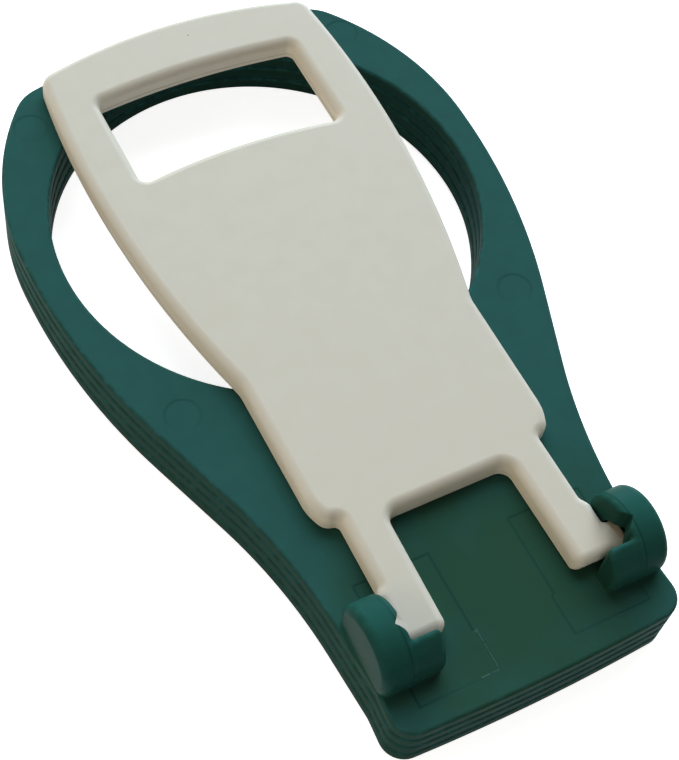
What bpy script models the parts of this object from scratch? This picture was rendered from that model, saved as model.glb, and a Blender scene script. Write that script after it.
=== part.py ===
"""Folding cup carrier.

Four equal ring plates lie on each other and turn about one upright pivot post, so that they fan out into four cup
rings. The top plate carries two hinge drums, and a flat handle with a forked foot swings up between them on two
domed pins. Metres, +Z up. The origin is on the resting plane, under the middle of the folded carrier. +Y runs from
the hinge to the cup holes.
"""

import math

import bmesh
import bpy
from mathutils import Matrix, Vector

# Fits shared by all pieces
RUNNING_GAP = 0.0003
OVERRUN = 0.0010
CHORD_SAG = 0.00006
WELD = 0.000002

# Ring plates: a cup hole at the end of an arm, and a squared tab round the pivot
CUP_HOLE_RADIUS = 0.0420
ARM_LENGTH = 0.0898
RING_SIDE_BAND = 0.0060
RING_TIP_BAND = 0.0064
TAB_HALF_WIDTH = 0.0286
TAB_BACK = 0.0165
TAB_CORNER_RADIUS = 0.0045
NECK_HALF_WIDTH = 0.0278
NECK_SETBACK = 0.0065
NECK_RADIUS = 0.0100
FLARE_HALF_WIDTH = 0.0298
PLATE_THICKNESS = 0.0030
PLATE_EDGE_RADIUS = 0.0007
LOWER_PLATES = ("second_ring_plate", "third_ring_plate", "bottom_ring_plate")

# The outline between tab and ring: places along the arm, and round the ring in ring half widths
FLARE_PLACE_SHARE = 0.240
FLARE_RADIUS_SHARE = 1.22
WAIST_PLACE_SHARE = -0.352
WAIST_RADIUS_SHARE = 2.66
SHOULDER_PLACE_SHARE = 0.554
SHOULDER_RADIUS_SHARE = 1.146
TIP_WIDTH_SHARE = 0.690
TIP_CORNER_SHARE = 0.19
TIP_BOW = math.radians(13.3)
TIP_SPREAD_SHARE = 0.90
TAB_BOW = math.radians(3.0)
TAB_SPREAD_SHARE = 0.80

# Pivot: a hollow post under the top plate, a cap and a screw
POST_RADIUS = 0.0080
CAP_RADIUS = 0.0127
CAP_FLANGE = 0.0013
CAP_SPIGOT_RADIUS = 0.0050
CAP_SPIGOT_LENGTH = 0.0030
CAP_RIM_CHAMFER = 0.0004
CAP_RECESS = 0.0002
SCREW_SHANK_RADIUS = 0.0020
SCREW_SHANK_LENGTH = 0.0063
SCREW_HEAD_RADIUS = 0.0033
SCREW_HEAD_HEIGHT = 0.0015
SCREW_HEAD_EDGE = 0.0004
SCREW_HEAD_DEPTH = 0.0022
DRIVE_SLOT_LENGTH = 0.0040
DRIVE_SLOT_WIDTH = 0.0009
DRIVE_SLOT_DEPTH = 0.0008

# Stops between neighbouring plates: a peg that runs in a quarter-circle groove
SWING = math.radians(90)
STOP_RING_RADIUS = 0.0170
STOP_PEG_RADIUS = 0.0015
STOP_PEG_REACH = 0.0012

# Hinge drums on the top plate
HINGE_HEIGHT = 0.0030
DRUM_RADIUS = 0.0081
DRUM_END_FACE = 0.0216
DRUM_EDGE_MARGIN = 0.0002
DRUM_EDGE_RADIUS = 0.0006
LUG_INNER_FACE = 0.0170
LUG_SEAM = 0.0012
LUG_INSET = 0.0001
LUG_CLEARANCE = 0.0011
LUG_EDGE_RADIUS = 0.0005
LUG_TOP_RADIUS = 0.0009
NOTCH_HALF_WIDTH = 0.0019
NOTCH_DEPTH = 0.0018
NOTCH_TIP_RADIUS = 0.0004

# Handle
HANDLE_THICKNESS = 0.0045
HANDLE_EDGE_RADIUS = 0.0014
HANDLE_LENGTH = 0.1374
HANDLE_TOP_HALF_WIDTH = 0.0293
HANDLE_BULGE_HALF_WIDTH = 0.0343
HANDLE_WAIST_HALF_WIDTH = 0.0240
HANDLE_TOP_CORNER = 0.0035
HANDLE_SIDE_RADIUS = 0.2100
HANDLE_WAIST_RADIUS = 0.0080
SHOULDER_REACH = 0.0228
SHOULDER_DROP = 0.0014
SHOULDER_RADIUS = 0.0032
ARMPIT_RADIUS = 0.0012
CROTCH_REACH = 0.0202
CROTCH_RADIUS = 0.0025
LEG_ROOT_HALF_WIDTH = 0.0124
LEG_FOOT_HALF_WIDTH = 0.0129
FLANGE_STEP = 0.0011
FLANGE_REACH = 0.0070
FLANGE_RAMP = 0.0016
FLANGE_RADIUS = 0.0015
FOOT_CORNER_RADIUS = 0.0019
PIN_RADIUS = 0.0022
PIN_LENGTH = 0.0023
PIN_END_RADIUS = 0.0016
BULGE_PLACE_SHARE = 0.677
WAIST_OF_HANDLE_SHARE = 0.385
HANDLE_BOW = math.radians(14.6)
HANDLE_SPREAD_SHARE = 0.90

# Finger window in the handle
WINDOW_HALF_WIDTH = 0.0215
WINDOW_BAR = 0.0129
WINDOW_HEIGHT = 0.0214
WINDOW_CORNER_RADIUS = 0.0017
WINDOW_HEAD_BOW = math.radians(6.5)
WINDOW_SILL_BOW = math.radians(8.3)
WINDOW_SPREAD_SHARE = 0.85

# Sizes that follow from the ones above
ring_half_width = CUP_HOLE_RADIUS + RING_SIDE_BAND
ring_tip = ARM_LENGTH + CUP_HOLE_RADIUS + RING_TIP_BAND
pivot_y = (TAB_BACK - ring_tip) / 2
plate_pitch = PLATE_THICKNESS + RUNNING_GAP
top_plate_bottom = len(LOWER_PLATES) * plate_pitch
top_plate_top = top_plate_bottom + PLATE_THICKNESS
hinge_z = top_plate_top + HINGE_HEIGHT
bore_radius = POST_RADIUS + RUNNING_GAP
cap_seat = CAP_RECESS + CAP_FLANGE + RUNNING_GAP
spigot_bore_radius = CAP_SPIGOT_RADIUS + RUNNING_GAP
spigot_bore_top = cap_seat + CAP_SPIGOT_LENGTH
head_seat = CAP_RECESS + SCREW_HEAD_DEPTH
head_top = head_seat - RUNNING_GAP
shank_top = head_top + SCREW_SHANK_LENGTH
drum_root = HINGE_HEIGHT + PLATE_THICKNESS / 2
drum_outer_face = NECK_HALF_WIDTH - DRUM_EDGE_MARGIN
foot_reach = HINGE_HEIGHT - RUNNING_GAP
handle_bottom = -foot_reach
lug_rear = foot_reach + LUG_CLEARANCE
flange_half_width = DRUM_END_FACE - RUNNING_GAP
leg_outer_half_width = flange_half_width - FLANGE_STEP
pin_tip = flange_half_width + PIN_LENGTH
socket_radius = PIN_RADIUS + RUNNING_GAP
socket_floor = pin_tip + RUNNING_GAP
groove_half_width = STOP_PEG_RADIUS + RUNNING_GAP
groove_depth = STOP_PEG_REACH + RUNNING_GAP

# Facets
ROUND_SEGMENTS = 48
SMALL_SEGMENTS = 24
EDGE_STEPS = 1

# Colours, as linear red, green, blue
GREEN = (0.030, 0.108, 0.090)
CREAM = (0.570, 0.560, 0.500)
STEEL = (0.560, 0.570, 0.580)


def clear_scene():
    """Removes every object, so that only the carrier is left."""
    for item in list(bpy.data.objects):
        bpy.data.objects.remove(item, do_unlink=True)


def new_collection(name):
    """A collection linked to the scene."""
    made = bpy.data.collections.new(name)
    bpy.context.scene.collection.children.link(made)
    return made


def plastic(name, colour, roughness, metallic=0.0):
    """A material with one Principled shader."""
    material = bpy.data.materials.new(name)
    material.use_nodes = True
    shader = material.node_tree.nodes["Principled BSDF"]
    shader.inputs["Base Color"].default_value = (*colour, 1)
    shader.inputs["Roughness"].default_value = roughness
    shader.inputs["Metallic"].default_value = metallic
    return material


def placed(name, mesh, collection, location=(0, 0, 0), guide=False):
    """An object with this mesh. A guide is a shape that is cut away from, or joined to, a piece."""
    item = bpy.data.objects.new(name, mesh)
    item.location = location
    collection.objects.link(item)
    if guide:
        item.hide_render = True
        item.display_type = "WIRE"
    return item


def arc_points(centre, radius, start, sweep):
    """Points along an arc, close enough for the chord sag."""
    step = 2 * math.acos(1 - min(CHORD_SAG / radius, 0.2))
    count = max(1, math.ceil(abs(sweep) / step))
    turns = [start + sweep * i / count for i in range(count + 1)]
    return [Vector((centre[0] + radius * math.cos(t), centre[1] + radius * math.sin(t))) for t in turns]


def filleted(corners):
    """A closed outline whose corners (x, y, radius) are rounded by arcs tangent to both edges.

    Where two arcs would meet on an edge, both get smaller.
    """
    spots = [Vector(corner[:2]) for corner in corners]
    count = len(spots)
    towards = [(spots[i - 1] - spots[i]).normalized() for i in range(count)]
    onwards = [(spots[(i + 1) % count] - spots[i]).normalized() for i in range(count)]
    openings = [towards[i].angle(onwards[i]) for i in range(count)]
    tangents = [corners[i][2] / math.tan(openings[i] / 2) for i in range(count)]
    fits = [1.0] * count
    for i in range(count):
        j = (i + 1) % count
        share = (spots[j] - spots[i]).length / max(tangents[i] + tangents[j], WELD)
        fits[i] = min(fits[i], share)
        fits[j] = min(fits[j], share)
    outline = []
    for i in range(count):
        tangent = tangents[i] * fits[i]
        radius = tangent * math.tan(openings[i] / 2)
        if radius < WELD:
            arc = [spots[i]]
        else:
            middle = (towards[i] + onwards[i]).normalized()
            centre = spots[i] + middle * math.hypot(tangent, radius)
            first = spots[i] + towards[i] * tangent - centre
            last = spots[i] + onwards[i] * tangent - centre
            sweep = math.atan2(first.cross(last), first.dot(last))
            arc = arc_points(centre, radius, math.atan2(first.y, first.x), sweep)
        for point in arc:
            if not outline or (point - outline[-1]).length > WELD:
                outline.append(point)
    if (outline[0] - outline[-1]).length < WELD:
        outline.pop()
    return outline


def mirrored(half):
    """A whole outline from its corners at x >= 0. The first and last lie on the middle line."""
    return half + [(-x, y, radius) for x, y, radius in half[-2:0:-1]]


def bowed_edge(half_width, crown, bow, spread_share, corner_radius):
    """Side corner and middle corner of an edge that bows to y = crown.

    It leaves the middle by the angle bow at each end, and its arc takes the spread share of its width.
    """
    radius = spread_share * half_width / abs(math.sin(bow))
    middle_y = crown + math.copysign(radius / math.cos(bow) - radius, bow)
    side_y = middle_y - half_width * math.tan(bow)
    return (half_width, side_y, corner_radius), (0, middle_y, radius)


def circle(centre, radius):
    """A full circle without its repeated last point."""
    return arc_points(centre, radius, 0, math.tau)[:-1]


def slab(name, loops, thickness, edge_radius, turned_to=Matrix.Identity(4)):
    """A mesh of a flat outline with holes, raised by its thickness on both sides of z = 0, edges rounded."""
    curve = bpy.data.curves.new(name, "CURVE")
    curve.dimensions = "2D"
    curve.fill_mode = "BOTH"
    curve.extrude = thickness / 2 - edge_radius
    curve.bevel_depth = edge_radius
    curve.bevel_resolution = EDGE_STEPS
    curve.offset = -edge_radius
    for loop in loops:
        spline = curve.splines.new("POLY")
        spline.points.add(len(loop) - 1)
        for spot, (x, y) in zip(spline.points, loop):
            spot.co = (x, y, 0, 1)
        spline.use_cyclic_u = True
    source = bpy.data.objects.new(name, curve)
    bpy.context.scene.collection.objects.link(source)
    source.matrix_world = turned_to
    bpy.context.view_layer.update()
    evaluated = source.evaluated_get(bpy.context.evaluated_depsgraph_get())
    mesh = bpy.data.meshes.new_from_object(evaluated)
    mesh.transform(source.matrix_world)
    bpy.data.objects.remove(source, do_unlink=True)
    shell = bmesh.new()
    shell.from_mesh(mesh)
    bmesh.ops.remove_doubles(shell, verts=shell.verts, dist=WELD)
    bmesh.ops.recalc_face_normals(shell, faces=shell.faces)
    shell.to_mesh(mesh)
    shell.free()
    return mesh


def rod(name, radius, low, high, segments=ROUND_SEGMENTS, around=(0, 0)):
    """A mesh of an upright cylinder between two heights, with no corner on the middle line."""
    shell = bmesh.new()
    move = Matrix.Translation((around[0], around[1], (low + high) / 2))
    move = move @ Matrix.Rotation(math.pi / segments, 4, "Z")
    bmesh.ops.create_cone(
        shell,
        cap_ends=True,
        segments=segments,
        radius1=radius,
        radius2=radius,
        depth=high - low,
        matrix=move,
    )
    mesh = bpy.data.meshes.new(name)
    shell.to_mesh(mesh)
    shell.free()
    return mesh


def block(name, low, high):
    """A mesh of a box between two corners."""
    shell = bmesh.new()
    size = Vector(high) - Vector(low)
    move = Matrix.Translation((Vector(high) + Vector(low)) / 2) @ Matrix.Diagonal((*size, 1))
    bmesh.ops.create_cube(shell, size=1, matrix=move)
    mesh = bpy.data.meshes.new(name)
    shell.to_mesh(mesh)
    shell.free()
    return mesh


def turned(name, profile, collection, location, axis="Z", segments=ROUND_SEGMENTS, guide=False, ring=False):
    """An object turned from a profile of (radius, place along the axis), from the top down its outer side.

    The profile of a ring closes on itself, and any other starts and ends on the axis.
    """
    if axis == "Z":
        spots = [(radius, 0, along) for radius, along in profile]
    else:
        spots = [(along, radius, 0) for radius, along in profile]
    mesh = bpy.data.meshes.new(name)
    edges = [(i, i + 1) for i in range(len(spots) - 1)]
    if ring:
        edges.append((len(spots) - 1, 0))
    mesh.from_pydata(spots, edges, [])
    item = placed(name, mesh, collection, location, guide)
    screw = item.modifiers.new("turn", "SCREW")
    screw.axis = axis
    screw.angle = math.tau
    screw.steps = segments
    screw.render_steps = segments
    screw.use_merge_vertices = True
    screw.merge_threshold = WELD
    screw.use_smooth_shade = True
    return item


def reshape(item, tool, operation):
    """Cuts the tool out of the item, or joins it on."""
    change = item.modifiers.new(tool.name, "BOOLEAN")
    change.operation = operation
    change.solver = "EXACT"
    change.object = tool


def both_sides(item):
    """Repeats a right-hand shape on the left."""
    mirror = item.modifiers.new("other side", "MIRROR")
    mirror.use_axis = (True, False, False)
    mirror.merge_threshold = WELD


def smooth(item):
    """Smooth shading over the rounded edges, with the flat faces kept flat."""
    item.data.shade_smooth()
    item.data.set_sharp_from_angle(angle=math.radians(50))
    flat_faces = item.modifiers.new("flat faces", "WEIGHTED_NORMAL")
    flat_faces.keep_sharp = True


def plate_outline():
    """Corners of a ring plate about its pivot: tab, flare, sides, shoulders and tip."""
    side, middle = bowed_edge(TAB_HALF_WIDTH, -TAB_BACK, -TAB_BOW, TAB_SPREAD_SHARE, TAB_CORNER_RADIUS)
    tip_half_width = ring_half_width * TIP_WIDTH_SHARE
    tip_corner = ring_half_width * TIP_CORNER_SHARE
    tip_side, tip_middle = bowed_edge(tip_half_width, ring_tip, TIP_BOW, TIP_SPREAD_SHARE, tip_corner)
    half = [
        middle,
        side,
        (NECK_HALF_WIDTH, -NECK_SETBACK, NECK_RADIUS),
        (FLARE_HALF_WIDTH, ARM_LENGTH * FLARE_PLACE_SHARE, ARM_LENGTH * FLARE_RADIUS_SHARE),
        (
            ring_half_width,
            ARM_LENGTH + ring_half_width * WAIST_PLACE_SHARE,
            ring_half_width * WAIST_RADIUS_SHARE,
        ),
        (
            ring_half_width,
            ARM_LENGTH + ring_half_width * SHOULDER_PLACE_SHARE,
            ring_half_width * SHOULDER_RADIUS_SHARE,
        ),
        tip_side,
        tip_middle,
    ]
    return filleted(mirrored(half))


def ring_plate(name, collection, tools, bottom, bored, pegged):
    """A ring plate: outline and cup hole, with the pivot's bore and stop groove, and the peg below."""
    loops = [plate_outline(), circle((0, ARM_LENGTH), CUP_HOLE_RADIUS)]
    if bored:
        loops.append(circle((0, 0), bore_radius))
    mesh = slab(name, loops, PLATE_THICKNESS, PLATE_EDGE_RADIUS)
    mesh.transform(Matrix.Translation((0, 0, PLATE_THICKNESS / 2)))
    item = placed(name, mesh, collection, (0, pivot_y, bottom))
    if bored:
        reshape(item, stop_groove(name, tools, item.location), "DIFFERENCE")
    if pegged:
        peg = rod(
            name + "_peg",
            STOP_PEG_RADIUS,
            -(STOP_PEG_REACH + RUNNING_GAP),
            PLATE_THICKNESS / 2,
            SMALL_SEGMENTS,
            (0, STOP_RING_RADIUS),
        )
        reshape(item, placed(name + "_peg", peg, tools, item.location, True), "UNION")
    return item


def stop_groove(name, tools, location):
    """The quarter-circle groove in a plate's top face, in which the peg of the plate above runs."""
    start = math.pi / 2 - SWING
    outer = arc_points((0, 0), STOP_RING_RADIUS + groove_half_width, start, SWING)
    last = Vector((math.cos(start + SWING), math.sin(start + SWING))) * STOP_RING_RADIUS
    first = Vector((math.cos(start), math.sin(start))) * STOP_RING_RADIUS
    far_end = arc_points(last, groove_half_width, start + SWING, math.pi)[1:-1]
    inner = arc_points((0, 0), STOP_RING_RADIUS - groove_half_width, start + SWING, -SWING)
    near_end = arc_points(first, groove_half_width, start + math.pi, math.pi)[1:-1]
    height = groove_depth + OVERRUN
    mesh = slab(name + "_groove", [outer + far_end + inner + near_end], height, 0)
    mesh.transform(Matrix.Translation((0, 0, PLATE_THICKNESS - groove_depth + height / 2)))
    return placed(name + "_groove", mesh, tools, location, True)


def across(name, outline, inner, outer, edge_radius):
    """A mesh of an outline in Y and Z, reaching along X from inner to outer."""
    lie_along_x = Matrix(((0, 0, 1, (inner + outer) / 2), (1, 0, 0, 0), (0, 1, 0, 0), (0, 0, 0, 1)))
    return slab(name, [outline], outer - inner, edge_radius, lie_along_x)


def drum_outline(radius):
    """A drum seen along the hinge line: a circle that is cut off level at its root in the plate."""
    dip = math.asin(drum_root / radius)
    return arc_points((0, 0), radius, -dip, math.pi + 2 * dip)


def lug_outline(radius):
    """A stop lug seen along the hinge line: the front part of a drum, cut off upright before the leg."""
    dip = math.asin(drum_root / radius)
    cut = math.acos(lug_rear / radius)
    arc = arc_points((0, 0), radius, math.pi - cut, cut + dip)
    corners = [(-lug_rear, arc[0].y, LUG_TOP_RADIUS)] + [(*point, 0) for point in arc[1:]]
    return filleted(corners + [(-lug_rear, -drum_root, 0)])


def hinge_drums(tools):
    """Both drums: round housings that grow out of the plate, each with a stop lug before its leg."""
    location = (0, pivot_y, hinge_z)
    outline = drum_outline(DRUM_RADIUS)
    mesh = across("drums", outline, DRUM_END_FACE, drum_outer_face, DRUM_EDGE_RADIUS)
    drums = placed("drums", mesh, tools, location, True)
    outline = lug_outline(DRUM_RADIUS - LUG_INSET)
    mesh = across("stop_lugs", outline, LUG_INNER_FACE, DRUM_END_FACE + LUG_SEAM, LUG_EDGE_RADIUS)
    reshape(drums, placed("stop_lugs", mesh, tools, location, True), "UNION")

    socket = [
        (0, socket_floor),
        (socket_radius, socket_floor),
        (socket_radius, DRUM_END_FACE - OVERRUN),
        (0, DRUM_END_FACE - OVERRUN),
    ]
    socket = turned("pin_sockets", socket, tools, location, "X", SMALL_SEGMENTS, True)
    reshape(drums, socket, "DIFFERENCE")

    slope = NOTCH_HALF_WIDTH / NOTCH_DEPTH
    mouth = NOTCH_HALF_WIDTH + OVERRUN * slope
    notch = filleted(
        [
            (DRUM_END_FACE - OVERRUN, -mouth, 0),
            (DRUM_END_FACE + NOTCH_DEPTH, 0, NOTCH_TIP_RADIUS),
            (DRUM_END_FACE - OVERRUN, mouth, 0),
        ]
    )
    height = DRUM_RADIUS + OVERRUN
    mesh = slab("entry_notches", [notch], height, 0)
    mesh.transform(Matrix.Translation((0, 0, height / 2)))
    reshape(drums, placed("entry_notches", mesh, tools, location, True), "DIFFERENCE")
    both_sides(drums)
    return drums


def top_plate(collection, tools):
    """The top ring plate with its hinge drums, and the hollow pivot post under it."""
    item = ring_plate("top_ring_plate", collection, tools, top_plate_bottom, False, True)
    reshape(item, hinge_drums(tools), "UNION")
    location = (0, pivot_y, 0)
    post = rod("post", POST_RADIUS, cap_seat, top_plate_bottom + PLATE_THICKNESS / 2)
    reshape(item, placed("post", post, tools, location, True), "UNION")
    bore = [
        (0, shank_top + RUNNING_GAP),
        (SCREW_SHANK_RADIUS + RUNNING_GAP, shank_top + RUNNING_GAP),
        (SCREW_SHANK_RADIUS + RUNNING_GAP, spigot_bore_top),
        (spigot_bore_radius, spigot_bore_top),
        (spigot_bore_radius, cap_seat - OVERRUN),
        (0, cap_seat - OVERRUN),
    ]
    reshape(item, turned("post_bore", bore, tools, location, guide=True), "DIFFERENCE")
    return item


def lower_plate(name, index, collection, tools):
    """One of the plates under the top one. The bottom one has the cap's seat instead of a peg."""
    bottom = top_plate_bottom - (index + 1) * plate_pitch
    last = name == LOWER_PLATES[-1]
    item = ring_plate(name, collection, tools, bottom, True, not last)
    if last:
        seat = rod("cap_seat", CAP_RADIUS + RUNNING_GAP, -OVERRUN, cap_seat)
        reshape(item, placed("cap_seat", seat, tools, item.location, True), "DIFFERENCE")
    return item


def retaining_cap(collection):
    """The round cap under the stack, with a spigot in the post and a seat for the screw's head."""
    flange_top = CAP_RECESS + CAP_FLANGE
    spigot_top = spigot_bore_top - RUNNING_GAP
    hole = SCREW_SHANK_RADIUS + RUNNING_GAP
    recess = SCREW_HEAD_RADIUS + RUNNING_GAP
    profile = [
        (hole, spigot_top),
        (CAP_SPIGOT_RADIUS, spigot_top),
        (CAP_SPIGOT_RADIUS, flange_top),
        (CAP_RADIUS - CAP_RIM_CHAMFER, flange_top),
        (CAP_RADIUS, flange_top - CAP_RIM_CHAMFER),
        (CAP_RADIUS, CAP_RECESS + CAP_RIM_CHAMFER),
        (CAP_RADIUS - CAP_RIM_CHAMFER, CAP_RECESS),
        (recess, CAP_RECESS),
        (recess, head_seat),
        (hole, head_seat),
    ]
    return turned("retaining_cap", profile, collection, (0, pivot_y, 0), ring=True)


def pivot_screw(collection, tools):
    """The pan head screw that holds the cap on the post, with a cross recess in its head."""
    bottom = head_top - SCREW_HEAD_HEIGHT
    profile = [
        (0, shank_top),
        (SCREW_SHANK_RADIUS / 2, shank_top),
        (SCREW_SHANK_RADIUS, shank_top - SCREW_SHANK_RADIUS / 2),
        (SCREW_SHANK_RADIUS, head_top),
        (SCREW_HEAD_RADIUS, head_top),
        (SCREW_HEAD_RADIUS, bottom + SCREW_HEAD_EDGE),
        (SCREW_HEAD_RADIUS - SCREW_HEAD_EDGE, bottom),
        (0, bottom),
    ]
    item = turned("pivot_screw", profile, collection, (0, pivot_y, 0), segments=SMALL_SEGMENTS)
    half_length = DRIVE_SLOT_LENGTH / 2
    half_width = DRIVE_SLOT_WIDTH / 2
    slots = ((half_length, half_width), (half_width, half_length))
    for number, (x, y) in enumerate(slots):
        mesh = block("slot", (-x, -y, bottom - OVERRUN), (x, y, bottom + DRIVE_SLOT_DEPTH))
        slot = placed(f"drive_slot_{number}", mesh, tools, (0, pivot_y, 0), True)
        reshape(item, slot, "DIFFERENCE")
    return item


def handle_outline():
    """Corners of the handle about its hinge line: fork, feet, shoulders, waist, sides and bowed top."""
    top_side, top_middle = bowed_edge(
        HANDLE_TOP_HALF_WIDTH, HANDLE_LENGTH, HANDLE_BOW, HANDLE_SPREAD_SHARE, HANDLE_TOP_CORNER
    )
    half = [
        (0, CROTCH_REACH, 0),
        (LEG_ROOT_HALF_WIDTH, CROTCH_REACH, CROTCH_RADIUS),
        (LEG_FOOT_HALF_WIDTH, -foot_reach, FOOT_CORNER_RADIUS),
        (flange_half_width, -foot_reach, FOOT_CORNER_RADIUS),
        (flange_half_width, FLANGE_REACH, FLANGE_RADIUS),
        (leg_outer_half_width, FLANGE_REACH + FLANGE_RAMP, FLANGE_RADIUS),
        (leg_outer_half_width, SHOULDER_REACH - SHOULDER_DROP, ARMPIT_RADIUS),
        (HANDLE_WAIST_HALF_WIDTH, SHOULDER_REACH, SHOULDER_RADIUS),
        (HANDLE_WAIST_HALF_WIDTH, HANDLE_LENGTH * WAIST_OF_HANDLE_SHARE, HANDLE_WAIST_RADIUS),
        (HANDLE_BULGE_HALF_WIDTH, HANDLE_LENGTH * BULGE_PLACE_SHARE, HANDLE_SIDE_RADIUS),
        top_side,
        top_middle,
    ]
    return filleted(mirrored(half))


def window_outline():
    """The finger window: straight sides, and sill and head bowed like the handle's top."""
    head = HANDLE_LENGTH - WINDOW_BAR
    head_side, head_middle = bowed_edge(
        WINDOW_HALF_WIDTH, head, WINDOW_HEAD_BOW, WINDOW_SPREAD_SHARE, WINDOW_CORNER_RADIUS
    )
    sill_side, sill_middle = bowed_edge(
        WINDOW_HALF_WIDTH, head - WINDOW_HEIGHT, WINDOW_SILL_BOW, WINDOW_SPREAD_SHARE, WINDOW_CORNER_RADIUS
    )
    return filleted(mirrored([sill_middle, sill_side, head_side, head_middle]))


def handle(collection, tools):
    """The handle about its hinge line, with feet rounded to clear the plate and a domed pin on each leg."""
    mesh = slab("handle", [handle_outline(), window_outline()], HANDLE_THICKNESS, HANDLE_EDGE_RADIUS)
    mesh.transform(Matrix.Translation((0, 0, handle_bottom + HANDLE_THICKNESS / 2)))
    location = (0, pivot_y, hinge_z)
    item = placed("handle", mesh, collection, location)

    beyond = foot_reach + OVERRUN
    heel = arc_points((0, 0), foot_reach, -math.pi / 2, -math.pi / 2)
    heel += [Vector((-beyond, 0)), Vector((-beyond, -beyond)), Vector((0, -beyond))]
    mesh = across("heel_trim", heel, -beyond - DRUM_END_FACE, beyond + DRUM_END_FACE, 0)
    reshape(item, placed("heel_trim", mesh, tools, location, True), "DIFFERENCE")

    half = [(0, pin_tip, 0), (PIN_RADIUS, pin_tip, PIN_END_RADIUS), (PIN_RADIUS, leg_outer_half_width, 0)]
    profile = filleted(half + [(0, leg_outer_half_width, 0)])
    pins = turned("pins", profile, tools, location, "X", SMALL_SEGMENTS, True)
    both_sides(pins)
    reshape(item, pins, "UNION")
    return item


def build():
    """Builds every piece of the carrier."""
    clear_scene()
    pieces = new_collection("cup_carrier")
    tools = new_collection("cutters")
    green = plastic("green_plastic", GREEN, 0.42)
    cream = plastic("cream_plastic", CREAM, 0.45)
    steel = plastic("zinc_steel", STEEL, 0.35, 1.0)

    plates = [top_plate(pieces, tools)]
    for index, name in enumerate(LOWER_PLATES):
        plates.append(lower_plate(name, index, pieces, tools))
    plates.append(retaining_cap(pieces))
    for item in plates:
        item.data.materials.append(green)
    grip = handle(pieces, tools)
    grip.data.materials.append(cream)
    screw = pivot_screw(pieces, tools)
    screw.data.materials.append(steel)
    for item in pieces.objects:
        smooth(item)


build()
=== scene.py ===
# %% [markdown]
# # A folding cup carrier
#
# Four green ring plates lie on each other, and a cream handle folds flat over them. All of it is moulded plastic, so
# the looks come from exact soft edges, from a fine matte grain, and from the small marks that moulds leave.
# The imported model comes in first. It fixes every size and place, and the pieces made here are fitted to it.

# %% The frame
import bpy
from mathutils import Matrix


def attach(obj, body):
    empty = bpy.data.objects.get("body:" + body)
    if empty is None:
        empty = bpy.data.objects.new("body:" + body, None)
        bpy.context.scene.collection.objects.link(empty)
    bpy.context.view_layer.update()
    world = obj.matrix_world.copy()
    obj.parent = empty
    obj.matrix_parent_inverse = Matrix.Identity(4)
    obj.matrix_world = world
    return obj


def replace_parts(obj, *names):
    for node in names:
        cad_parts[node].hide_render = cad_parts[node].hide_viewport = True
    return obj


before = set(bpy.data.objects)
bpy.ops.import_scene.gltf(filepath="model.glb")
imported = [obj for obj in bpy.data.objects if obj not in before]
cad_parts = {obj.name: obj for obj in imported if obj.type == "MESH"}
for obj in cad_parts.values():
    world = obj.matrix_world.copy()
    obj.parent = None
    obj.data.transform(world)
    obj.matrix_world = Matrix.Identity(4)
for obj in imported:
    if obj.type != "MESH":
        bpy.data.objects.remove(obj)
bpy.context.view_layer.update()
import math

import bpy
import numpy as np
from mathutils import Matrix, Vector
from mathutils.geometry import delaunay_2d_cdt

# %% [markdown]
# ## Sizes
#
# The plates and the handle are drawn about the pivot, in millimetres: x across, y from the hinge towards the cup
# holes, and z up from the resting plane. One function moves the finished points to the frame, in metres. Pieces that
# move on each other keep a GAP, and a surface that has to vanish in another lies SUNK below it.

# %% Sizes in millimetres
MM = 0.001
PIVOT_Y = -60.85
GAP = 0.3
HOLE_RADIUS, ARM = 42.0, 89.8
SIDE_BAND, TIP_BAND = 6.0, 6.4
PLATE, PLATE_EDGE = 3.0, 0.7
PITCH = PLATE + GAP
TOP_BOTTOM = 3 * PITCH
TOP_TOP = TOP_BOTTOM + PLATE
HINGE_UP = 3.0
HINGE_Z = TOP_TOP + HINGE_UP
FOOT_REACH = HINGE_UP - GAP
SUNK = 0.006
print("hinge line at", HINGE_Z, "mm, plates at", [round(n * PITCH, 2) for n in range(4)])


# %% [markdown]
# ## Outlines
#
# Every edge of a moulding is drawn as straight lines with arcs between them. So an outline here is a short list of
# corners, each with the radius of its arc. The arcs are worked out together with the direction that points out of
# the outline at each point. That direction is exact, so the shading later has no facets.

# %% Corners to a smooth outline
SAG = 0.003


def arc(centre, radius, start, sweep):
    """Points and outward directions on an arc, with steps so short that a chord strays from it by SAG at most."""
    count = max(2, math.ceil(abs(sweep) / (2 * math.acos(1 - min(SAG / radius, 0.2)))))
    turn = start + sweep * np.linspace(0, 1, count + 1)
    away = np.stack((np.cos(turn), np.sin(turn)), 1)
    return np.asarray(centre) + radius * away, away * np.sign(sweep)


def distinct(points, away):
    """Leaves out each point that lies on the one before it."""
    fresh = np.linalg.norm(points - np.roll(points, 1, 0), axis=1) > 1e-4
    return points[fresh], away[fresh]


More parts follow.
